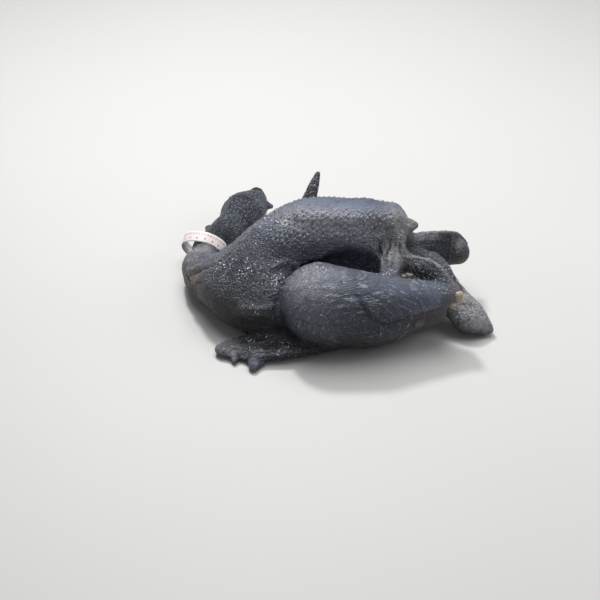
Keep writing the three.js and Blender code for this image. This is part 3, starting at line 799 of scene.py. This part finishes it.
KNOB_ROWS = [
    (BREAST_LINE, 15, 50, 3.7, 1.25, 55, 0.42),
    (BREAST_LINE, 50, 112, 4.2, 1.0, 58, 0.1),
    (BREAST_LINE, -72, -20, 3.9, 1.2, -52, 0.16),
    (BREAST_LINE, -112, -72, 4.2, 0.9, -58, 0.06),
    (SHOULDER_LINE, -90, 115, 2.5, 0.85, 20, 0.12),
    ([(26, 0, 56), (40, -2, 54), (54, -4, 50)], 30, 130, 1.9, 0.66, 0, 0.75),
    (NECK_LINE, -100, 100, 1.9, 0.62, 0, 0.28),
    ([NAPE, SKULL, (-84, 94, 13)], -100, 100, 2.0, 0.58, 0, 0.25),
    (NEAR_SHANK_LINE, -60, 100, 1.9, 0.66, 0, 0.6),
    (FAR_SHANK_LINE, -120, 120, 1.9, 0.70, 0, 0.5),
    (TAIL_LINE, -100, 100, 1.7, 0.62, 0, 0.85),
    (WING_LINE, -80, 80, 2.3, 0.55, 0, 0.35),
    (FAR_WING_LINE, -100, 100, 2.3, 0.6, 0, 0.2),
]
KNOB_SIDES = 6
KNOB_TOP = 0.60
KNOB_RINGS = ((0.62, 0.32), (1.05, -0.30))
SLANTED = 0.5
LONG_KNOB = 1.45
ROUND_KNOB = 1.08
BIG_KNOB = 0.9
SMALLEST_KNOB = 0.24
SIZE_SPREAD = 0.2
BARE_SHRINK = 0.62
BARE_LOSS = 0.8

# Knobs keep their distance by cells of this size, and stay off the underside and the ground.
CLOSEST = 1.35
UNDERSIDE = -0.45
CLEAR_OF_GROUND = 2.5

# How far the skin usually is from a row's line, and the least that a turn is worked out with.
USUAL_AWAY = 30
LEAST_AWAY = 8
WANDER_DEGREES = 0.5
WANDER_ALONG = 0.012


def knob_places(tree):
    """Where the knobs stand: (place, normal, direction, size, slant, paleness), in offset rows."""
    found = []
    taken = set()
    for line, first, last, pitch, size, slant, pale in KNOB_ROWS:
        path = smooth_curve(line, 12)
        gaps = np.linalg.norm(np.diff(path, axis=0), axis=1)
        runs = np.concatenate([[0], np.cumsum(gaps)])
        near = (0,) if size >= BIG_KNOB else (-1, 0, 1)
        for row, run in enumerate(np.arange(0, runs[-1], pitch * ROW_GAP)):
            at, ahead, behind = [
                np.array([np.interp(run + step, runs, path[:, i]) for i in range(3)])
                for step in (0, 1, -1)
            ]
            along = (ahead - behind) / np.linalg.norm(ahead - behind)
            side = np.cross(along, (0, 0, 1))
            side /= np.linalg.norm(side)
            up = np.cross(side, along)
            turn = first + (row % 2) * 0.5 * math.degrees(pitch / USUAL_AWAY)
            while turn < last:
                angle = math.radians(turn + rng.normal() * WANDER_DEGREES)
                lean = along * rng.normal() * WANDER_ALONG
                ray = Vector(up * math.cos(angle) + side * math.sin(angle) + lean)
                place, normal, _, away = tree.ray_cast(Vector(at), ray.normalized())
                turn += math.degrees(pitch / max(away or USUAL_AWAY, LEAST_AWAY))
                if place is None or normal.z < UNDERSIDE or place.z < CLEAR_OF_GROUND:
                    continue
                x, y, z = [int(c // CLOSEST) for c in place]
                if taken & {(x + i, y + j, z + k) for i in near for j in near for k in near}:
                    continue
                taken.add((x, y, z))
                found.append((place, normal, Vector(along), size, math.radians(slant), pale))
    return found


def knob_mesh(tree):
    """All knobs as one mesh of low domes with sunken rims, and how pale each vertex is."""
    found = knob_places(tree)
    bare = together(np.array([knob[0] for knob in found]), BARE) ** 3
    sizes = np.array([knob[3] for knob in found]) * (1 - BARE_SHRINK * bare)
    sizes *= 1 + SIZE_SPREAD * rng.normal(size=len(found)).clip(-1.5, 1.5)
    keep = (rng.random(len(found)) > BARE_LOSS * bare) & (sizes > SMALLEST_KNOB)
    vertices = []
    faces = []
    pales = []
    for (place, normal, along, _, slant, pale), size, kept in zip(found, sizes, keep):
        if not kept:
            continue
        first = len(vertices)
        level = (along - normal * along.dot(normal)).normalized()
        slope = normal.cross(level)
        forward = level * math.cos(slant) + slope * math.sin(slant)
        side = normal.cross(forward)
        stretch = LONG_KNOB if slant > SLANTED else ROUND_KNOB
        vertices.append(place + normal * size * KNOB_TOP)
        for ring, (reach, rise) in enumerate(KNOB_RINGS):
            for i in range(KNOB_SIDES):
                angle = 2 * math.pi * (i + 0.5 * ring) / KNOB_SIDES
                long = forward * math.cos(angle) * reach * stretch
                wide = side * math.sin(angle) * reach / stretch
                vertices.append(place + (long + wide + normal * rise) * size)
        for i in range(KNOB_SIDES):
            j = (i + 1) % KNOB_SIDES
            upper = first + 1 + i, first + 1 + j
            lower = first + 1 + KNOB_SIDES + i, first + 1 + KNOB_SIDES + j
            faces.append((first, upper[0], upper[1]))
            faces.append((upper[0], lower[0], upper[1]))
            faces.append((upper[1], lower[0], lower[1]))
        pales += [pale] * (len(vertices) - first)
    return np.array(vertices), faces, np.array(pales)


def new_object(name, places, faces):
    """A smooth mesh piece from places in millimetres."""
    mesh = bpy.data.meshes.new(name)
    mesh.from_pydata(((np.array(places) + MOVE) * MM).tolist(), [], [tuple(face) for face in faces])
    mesh.update()
    mesh.polygons.foreach_set("use_smooth", [True] * len(mesh.polygons))
    piece = bpy.data.objects.new(name, mesh)
    bpy.context.scene.collection.objects.link(piece)
    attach(piece, "root")
    return piece


def paint(piece, name, values):
    """Stores one number for each vertex, for the materials to read."""
    layer = piece.data.attributes.new(name, "FLOAT", "POINT")
    layer.data.foreach_set("value", values.astype(np.float32))


# Bits of fat and cartilage, each as a place near the skin and its half sizes.
FAT_BITS = [
    ((55, -23, 45.5), (2.6, 2.0, 1.8)),
    ((52, -25, 45), (2.0, 1.6, 1.4)),
    ((57.5, -22, 44.5), (1.5, 1.4, 1.2)),
    ((89, -31, 39), (3.6, 3.0, 3.6)),
    ((86.6, -34, 35.4), (2.8, 2.2, 2.4)),
    ((91, -29, 36), (2.4, 2.2, 2.4)),
    ((92, -16, 29), (1.5, 1.6, 1.6)),
    ((94, -17, 24), (1.3, 1.3, 1.2)),
    ((6, -74, 41), (0.9, 0.7, 0.8)),
    ((9, -74, 39), (0.7, 0.6, 0.6)),
]
LUMP_SIDES = 10
LUMP_RINGS = 7
LUMP_BUMPS = 0.28
LUMP_GRAIN = 0.8
LUMP_SEED = 5
LUMP_SUNK = 0.1


def lumpy_ball(at, size, seed):
    """Vertices and faces of a small uneven lump."""
    vertices = [(0, 0, 1)]
    for i in range(1, LUMP_RINGS):
        tilt = math.pi * i / LUMP_RINGS
        for j in range(LUMP_SIDES):
            angle = 2 * math.pi * j / LUMP_SIDES
            out = math.sin(tilt)
            vertices.append((out * math.cos(angle), out * math.sin(angle), math.cos(tilt)))
    vertices.append((0, 0, -1))
    vertices = np.array(vertices)
    last = len(vertices) - 1
    faces = []
    for j in range(LUMP_SIDES):
        k = (j + 1) % LUMP_SIDES
        faces.append((0, 1 + j, 1 + k))
        for first in range(1, last - LUMP_SIDES, LUMP_SIDES):
            second = first + LUMP_SIDES
            faces.append((first + j, second + j, second + k, first + k))
        faces.append((last - LUMP_SIDES + j, last, last - LUMP_SIDES + k))
    bumps = 1 + LUMP_BUMPS * noise(vertices, LUMP_GRAIN, seed)
    return vertices * bumps[:, None] * np.array(size) + np.array(at), faces


def lumps(name, balls, tree):
    """Small uneven lumps that sit on the skin next to the places given."""
    vertices = []
    faces = []
    for seed, (at, size) in enumerate(balls):
        place, normal, _, _ = tree.find_nearest(Vector(at))
        sunk = place - normal * min(size) * LUMP_SUNK
        more, sides = lumpy_ball(sunk, size, seed + LUMP_SEED)
        faces += [tuple(i + len(vertices) for i in side) for side in sides]
        vertices += more.tolist()
    return new_object(name, vertices, faces)


class Nodes:
    """A short way to write a material's nodes."""

    def __init__(self, name):
        self.material = bpy.data.materials.new(name)
        self.material.use_nodes = True
        self.tree = self.material.node_tree
        self.shader = self.tree.nodes["Principled BSDF"]
        self.place = self.node("TexCoord", {}).outputs["Object"]

    def node(self, kind, values, **settings):
        """A new node with its settings made and its sockets filled."""
        node = self.tree.nodes.new("ShaderNode" + kind)
        for name, value in settings.items():
            setattr(node, name, value)
        for name, value in values.items():
            self.put(node.inputs[name], value)
        return node

    def put(self, socket, value):
        if isinstance(value, bpy.types.NodeSocket):
            self.tree.links.new(value, socket)
        elif socket.type == "RGBA":
            socket.default_value = (*value, 1)
        else:
            socket.default_value = value

    def set(self, name, value):
        self.put(self.shader.inputs[name], value)

    def noise(self, scale, detail=3.0, vector=None):
        values = {"Vector": vector or self.place, "Scale": scale, "Detail": detail}
        return self.node("TexNoise", values).outputs["Fac"]

    def math(self, operation, a, b=0.5, clamp=False):
        return self.node("Math", {0: a, 1: b}, operation=operation, use_clamp=clamp).outputs[0]

    def times(self, a, b):
        return self.math("MULTIPLY", a, b)

    def spread(self, value, low, high, to_low=0.0, to_high=1.0):
        values = {"Value": value, "From Min": low, "From Max": high, "To Min": to_low, "To Max": to_high}
        return self.node("MapRange", values).outputs["Result"]

    def mix(self, share, a, b):
        return self.node("Mix", {"Factor": share, "A": a, "B": b}, data_type="RGBA").outputs["Result"]

    def painted(self, name):
        return self.node("Attribute", {}, attribute_name=name).outputs["Fac"]

    def bump(self, height, distance):
        values = {"Strength": 1.0, "Distance": distance, "Height": height}
        return self.node("Bump", values).outputs["Normal"]


DARK = (0.024, 0.028, 0.043)
SLATE = (0.092, 0.107, 0.158)
BLUE = (0.105, 0.128, 0.192)
UMBER = (0.070, 0.042, 0.030)
SAND = (0.330, 0.265, 0.190)
CREAM = (0.46, 0.41, 0.33)
DULL_CREAM = (0.22, 0.175, 0.13)
ASH = (0.370, 0.368, 0.390)
# The colour of the painted glints.
GLINT = (0.78, 0.82, 0.92)
# The colour of the painted shade on the skin's dimmer sides.
DUSK_SHADE = (0.022, 0.024, 0.036)
NEAR_BLACK = (0.008, 0.008, 0.010)
KNOB_DARK = (0.055, 0.060, 0.078)
KNOB_GREY = (0.130, 0.140, 0.175)
KNOB_ASH = (0.23, 0.245, 0.29)
KNOB_PALE = (0.42, 0.43, 0.48)
PAPER_DULL = (0.62, 0.61, 0.60)
PAPER_WHITE = (0.68, 0.67, 0.66)
PRINT_RED = (0.62, 0.10, 0.09)


def toned(n, colour, grain):
    """The colour made paler by region, partly as painted light, paler on ridges and darker in grooves as
    painted light and shade, and darker by painted shade where the regions say so.
    """
    hollow = n.painted("hollow")
    # Paler by region: partly the skin's own tone, partly painted light.
    colour = n.mix(n.times(n.painted("pale"), n.spread(grain, 0.3, 0.7, 0.25, 0.95)), colour, ASH)
    # Painted light on ridges and painted shade in grooves, from how hollow the skin is.
    colour = n.mix(n.spread(hollow, -0.12, -0.7, 0.0, 0.3), colour, ASH)
    colour = n.mix(n.spread(hollow, 0.12, 1.0, 0.0, 0.8), colour, NEAR_BLACK)
    return n.mix(n.times(n.painted("shade"), 0.9), colour, NEAR_BLACK)


def skin_material():
    """Dark slate skin: mottled, tinted by region, finely creased, with a wet coat in patches, painted shade
    and light, and painted glints where it is wet.
    """
    n = Nodes("black_skin")
    lines, pebbled, wet = [n.painted(name) for name in ("lines", "pebbled", "wet")]
    patches = n.noise(70, 3)
    mottle = n.noise(300, 4)
    grain = n.noise(1100, 3)
    cells = n.node("TexVoronoi", {"Vector": n.place, "Scale": 540}).outputs["Distance"]
    pebbles = n.times(n.spread(cells, 0.08, 0.62, 1.0, 0.0), pebbled)
    runs = {"X": n.times(n.painted("across"), 0.85), "Y": n.times(n.painted("along"), 0.16)}
    strokes = n.node("CombineXYZ", runs).outputs["Vector"]
    streaks = n.times(n.spread(n.noise(1.0, 2.0, strokes), 0.53, 0.61), lines)

    share = n.math("ADD", n.times(patches, 0.45), n.times(mottle, 0.55))
    colour = n.mix(n.spread(share, 0.36, 0.64), DARK, SLATE)
    for name, field, low, high, least, most, tint in (
        ("bare", patches, 0.3, 0.7, 0.35, 0.9, BLUE),
        ("brown", mottle, 0.35, 0.65, 0.75, 1.0, UMBER),
        ("beige", grain, 0.35, 0.65, 0.40, 0.95, SAND),
    ):
        colour = n.mix(n.times(n.painted(name), n.spread(field, low, high, least, most)), colour, tint)
    # Darker between the fine lines as painted shade, and paler along them, partly the skin's own tone and
    # partly painted light.
    colour = n.mix(n.times(n.math("SUBTRACT", lines, streaks), 0.45), colour, DARK)
    colour = n.mix(n.times(streaks, n.spread(mottle, 0.4, 0.6, 0.25, 0.75)), colour, ASH)
    # Painted shade in the gaps between the pebbles and painted light on their tops.
    gaps = n.math("MULTIPLY", n.math("SUBTRACT", pebbled, pebbles), 0.85, clamp=True)
    colour = n.mix(gaps, colour, NEAR_BLACK)
    colour = n.mix(n.spread(pebbles, 0.5, 1.0, 0.0, 0.34), colour, ASH)
    coarse = n.spread(pebbled, 0.0, 0.7, 0.12, 1.0)
    flecks = n.noise(640, 2)
    colour = n.mix(n.times(n.spread(flecks, 0.50, 0.38, 0.0, 0.85), coarse), colour, NEAR_BLACK)
    colour = n.mix(n.times(n.spread(flecks, 0.56, 0.68, 0.0, 0.45), coarse), colour, ASH)
    # Painted shade: a dark blue-black laid over the sides that the light reaches least.
    dusky_shade = n.times(n.painted("dusky_shade"), n.spread(patches, 0.3, 0.7, 0.50, 0.85))
    colour = n.mix(dusky_shade, toned(n, colour, mottle), DUSK_SHADE)
    # Painted highlights: pale glints put into the colour in small clusters where the skin is wet.
    glints = n.times(n.spread(n.noise(760, 1), 0.63, 0.67), n.spread(n.noise(95, 2), 0.44, 0.60))
    glints = n.times(glints, n.spread(wet, 0.15, 0.6, 0.0, 0.95))
    n.set("Base Color", n.mix(glints, colour, GLINT))

    n.set("Roughness", n.math("SUBTRACT", n.spread(mottle, 0.3, 0.7, 0.40, 0.60), n.times(wet, 0.20)))
    coat = n.math("ADD", n.spread(wet, 0.1, 0.6, 0.06, 0.5), n.times(streaks, 0.5), clamp=True)
    n.set("Coat Weight", coat)
    n.set("Coat Roughness", 0.24)
    n.set("Specular IOR Level", 0.5)
    n.set("Specular Tint", (0.9, 0.95, 1.0))
    crinkle = n.math("ABSOLUTE", n.math("SUBTRACT", n.noise(380, 3), 0.5))
    height = n.times(n.spread(grain, 0.35, 0.65), 0.60)
    height = n.math("ADD", height, n.times(n.spread(crinkle, 0.0, 0.12), 0.55))
    height = n.times(height, n.spread(pebbled, 0.0, 0.7, 0.45, 1.0))
    height = n.math("ADD", height, n.times(pebbles, 0.8))
    relief = n.bump(n.math("ADD", height, streaks), 0.0010)
    n.set("Normal", relief)
    n.set("Coat Normal", relief)
    return n.material


def knob_material():
    """Feather knobs: much the same skin, wet in patches, paler in the rows that say so, and darkened with
    painted shade where the skin around them is.
    """
    n = Nodes("feather_knobs")
    wet = n.painted("wet")
    each = n.noise(420, 2)
    share = n.spread(each, 0.35, 0.65)
    tops = n.mix(share, KNOB_ASH, KNOB_PALE)
    colour = n.mix(n.painted("knob_pale"), n.mix(share, KNOB_DARK, KNOB_GREY), tops)
    # Painted shade where the skin around the knobs is darkened, and the brown tint.
    for name, most, tint in (("dusky_shade", 0.5, DUSK_SHADE), ("brown", 0.75, UMBER), ("shade", 0.85, NEAR_BLACK)):
        colour = n.mix(n.times(n.painted(name), most), colour, tint)
    n.set("Base Color", colour)
    n.set("Roughness", n.math("SUBTRACT", n.spread(each, 0.3, 0.7, 0.36, 0.55), n.times(wet, 0.26)))
    n.set("Specular IOR Level", 0.6)
    n.set("Coat Weight", n.spread(wet, 0.1, 0.7, 0.05, 0.6))
    n.set("Coat Roughness", 0.20)
    relief = n.bump(n.noise(1500, 2), 0.0002)
    n.set("Normal", relief)
    n.set("Coat Normal", relief)
    return n.material


def fat_material():
    n = Nodes("fat")
    grain = n.noise(700, 4)
    n.set("Base Color", n.mix(n.spread(grain, 0.35, 0.65), DULL_CREAM, CREAM))
    n.set("Roughness", n.spread(grain, 0.3, 0.7, 0.25, 0.5))
    n.set("Coat Weight", 0.4)
    n.set("Normal", n.bump(grain, 0.0004))
    return n.material


# The red ticks on the band, in millimetres: their pitch along it, the share of the pitch that is
# red, the middle of the row across the band and half the row's height.
TICK_ROWS = ((2.3, 0.55, 2.4, 0.65), (6.1, 0.26, -1.6, 1.0))


def paper_material():
    """White paper with small faint red ticks in two rows."""
    n = Nodes("band_paper")
    fibres = n.noise(900, 4)
    white = n.mix(n.spread(fibres, 0.3, 0.7), PAPER_DULL, PAPER_WHITE)
    ticks = 0.0
    for pitch, share, middle, half in TICK_ROWS:
        tick = n.math("LESS_THAN", n.math("FRACT", n.math("DIVIDE", n.painted("along"), pitch)), share)
        away = n.math("ABSOLUTE", n.math("SUBTRACT", n.painted("across"), middle))
        ticks = n.math("MAXIMUM", n.times(tick, n.math("LESS_THAN", away, half)), ticks)
    ticks = n.times(ticks, n.spread(n.noise(500, 2), 0.42, 0.58, 0.35, 0.95))
    n.set("Base Color", n.mix(ticks, white, PRINT_RED))
    n.set("Roughness", n.spread(fibres, 0.3, 0.7, 0.5, 0.7))
    n.set("Normal", n.bump(fibres, 0.0001))
    return n.material


# The hoop of paper round the neck: lower and more pointed above its middle than below.
BAND_AXIS = (0.0, 0.93, 0.37)
BAND_ROLL = -0.28
BAND_HALF_WIDTH = 15.8
BAND_RISE = 12.0
BAND_DROP = 14.0
BAND_BREADTH = 9.4
BAND_PAPER = 0.45
BAND_SIDES = 96
BAND_RUNS = 8
BAND_TOP_POWER = 1.7
BAND_FOOT_POWER = 2.0


def band_point(side, up, angle, run, thick):
    """A place on the hoop, seen from its middle: a turn round it and a run along its axis."""
    upper = angle < math.pi
    power = BAND_TOP_POWER if upper else BAND_FOOT_POWER
    reach = BAND_RISE if upper else BAND_DROP
    flare = 0.25 * math.sin(3 * angle + 0.4) + 0.3 * (run / BAND_BREADTH) * math.sin(2 * angle)
    swell = (abs(math.cos(angle)) ** power + abs(math.sin(angle)) ** power) ** (-1 / power)
    wide = (BAND_HALF_WIDTH + thick + flare) * swell
    high = (reach + thick + flare) * swell
    return side * wide * math.cos(angle) + up * high * math.sin(angle)


def neck_band():
    """A loose strip of paper bent into a slightly uneven hoop, with both faces and its edges."""
    axis = np.array(BAND_AXIS) / np.linalg.norm(BAND_AXIS)
    level = np.cross(axis, (0, 0, 1))
    level /= np.linalg.norm(level)
    upright = np.cross(level, axis)
    side = level * math.cos(BAND_ROLL) + upright * math.sin(BAND_ROLL)
    up = upright * math.cos(BAND_ROLL) - level * math.sin(BAND_ROLL)
    vertices = []
    along = []
    across = []
    for thick in (0, BAND_PAPER):
        for i in range(BAND_SIDES):
            angle = 2 * math.pi * i / BAND_SIDES
            for j in range(BAND_RUNS + 1):
                run = (j / BAND_RUNS - 0.5) * BAND_BREADTH
                vertices.append(np.array(BAND_MIDDLE) + axis * run + band_point(side, up, angle, run, thick))
                along.append(angle * BAND_HALF_WIDTH)
                across.append(run)
    faces = []
    row = BAND_RUNS + 1
    layer = BAND_SIDES * row
    for i in range(BAND_SIDES):
        first = i * row
        second = (i + 1) % BAND_SIDES * row
        for j in range(BAND_RUNS):
            a, b, c, d = first + j, second + j, second + j + 1, first + j + 1
            faces.append((a, b, c, d))
            faces.append((layer + a, layer + d, layer + c, layer + b))
        faces.append((first, layer + first, layer + second, second))
        first += BAND_RUNS
        second += BAND_RUNS
        faces.append((first, second, layer + second, layer + first))
    piece = new_object("paper_band", vertices, faces)
    paint(piece, "along", np.array(along))
    paint(piece, "across", np.array(across))
    piece.data.materials.append(paper_material())
    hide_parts("neck_band")


# Studio, in metres and watts: each light's place, size and power.
FLOOR_HALF = 3.0
FLOOR_GREY = (0.50, 0.495, 0.485)
FLOOR_PALE = (0.53, 0.525, 0.515)
SKY = (0.95, 0.97, 1.0)
SKY_STRENGTH = 0.26
LIGHTS = {
    "overhead": ((-0.05, 0.25, 1.10), 1.00, 11.0),
    "key": ((-0.28, 0.40, 0.80), 0.13, 5.5),
    "side": ((0.60, 0.15, 0.40), 0.40, 1.1),
}
CAMERA_AT = (0.1345, -0.6814, 0.5135)
CAMERA_TILT = 53.23
CAMERA_TURN = 13
CAMERA_LENS = 71.09
CAMERA_FILM = 36


def floor_and_light():
    mesh = bpy.data.meshes.new("floor")
    corners = [(x * FLOOR_HALF, y * FLOOR_HALF, 0) for x, y in ((-1, -1), (1, -1), (1, 1), (-1, 1))]
    mesh.from_pydata(corners, [], [(0, 1, 2, 3)])
    floor = bpy.data.objects.new("floor", mesh)
    bpy.context.scene.collection.objects.link(floor)
    n = Nodes("floor")
    n.set("Base Color", n.mix(n.noise(3, 2), FLOOR_GREY, FLOOR_PALE))
    n.set("Roughness", 0.6)
    mesh.materials.append(n.material)
    world = bpy.data.worlds.new("studio")
    world.use_nodes = True
    world.node_tree.nodes["Background"].inputs["Color"].default_value = (*SKY, 1)
    world.node_tree.nodes["Background"].inputs["Strength"].default_value = SKY_STRENGTH
    bpy.context.scene.world = world
    for name, (place, size, power) in LIGHTS.items():
        light = bpy.data.lights.new(name, "AREA")
        light.shape = "DISK"
        light.size = size
        light.energy = power
        lamp = bpy.data.objects.new(name, light)
        lamp.location = place
        lamp.rotation_euler = (-Vector(place)).to_track_quat("-Z", "Y").to_euler()
        bpy.context.scene.collection.objects.link(lamp)


def set_camera():
    camera = bpy.data.objects.new("camera", bpy.data.cameras.new("camera"))
    camera.data.sensor_width = CAMERA_FILM
    camera.data.lens = CAMERA_LENS
    camera.location = CAMERA_AT
    camera.rotation_euler = (math.radians(CAMERA_TILT), 0, math.radians(CAMERA_TURN))
    bpy.context.scene.collection.objects.link(camera)
    bpy.context.scene.camera = camera
    bpy.context.scene.view_settings.view_transform = "Standard"


# The shade under the bird: how deep it is, how high it reaches and over what height it fades.
UNDER_SHADE = 0.65
UNDER_TOP = 34
UNDER_FADE = 26
UNDER_SLOPE = 0.6
SMOOTH_ROUNDS = 3
HOLLOW_ROUNDS = 4


def lowness(skin):
    """The shade on what faces down or sideways near the ground, 0 from its top up."""
    near_ground = np.clip((UNDER_TOP - skin.points[:, 2]) / UNDER_FADE, 0, 1)
    facing_down = np.clip(UNDER_SLOPE - skin.normals[:, 2], 0, 1)
    return UNDER_SHADE * near_ground * facing_down


def dress():
    skin = Skin(*worked_out())
    skin.smooth(SMOOTH_ROUNDS)
    ridges = sculpt(skin)
    body = new_object("skin", skin.points, skin.squares)
    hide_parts("chicken")
    painted = {name: together(skin.points, spots) for name, spots in REGIONS.items()}
    painted["beige"] = np.maximum(painted["beige"], ridges)
    painted["shade"] = np.maximum(painted["shade"], lowness(skin))
    painted["bare"] = together(skin.points, BLUE_BARE + BLUISH)
    painted["hollow"] = skin.hollowness(HOLLOW_ROUNDS)
    strength, flow = drawn_lines(skin.points)
    painted["lines"] = np.clip(strength * LINE_STRENGTH, 0, 1)
    painted["across"] = flow[:, 0]
    painted["along"] = flow[:, 1]
    for name, values in painted.items():
        paint(body, name, values)
    body.data.materials.append(skin_material())

    tree = skin.tree()
    places, faces, pales = knob_mesh(tree)
    knobs = new_object("feather_knobs", places, faces)
    paint(knobs, "knob_pale", pales)
    for name in ("shade", "wet", "brown", "dusky_shade"):
        paint(knobs, name, together(places, REGIONS[name]))
    knobs.data.materials.append(knob_material())
    fat = lumps("fat_bits", FAT_BITS, tree)
    fat.data.materials.append(fat_material())
    neck_band()


dress()
floor_and_light()
set_camera()
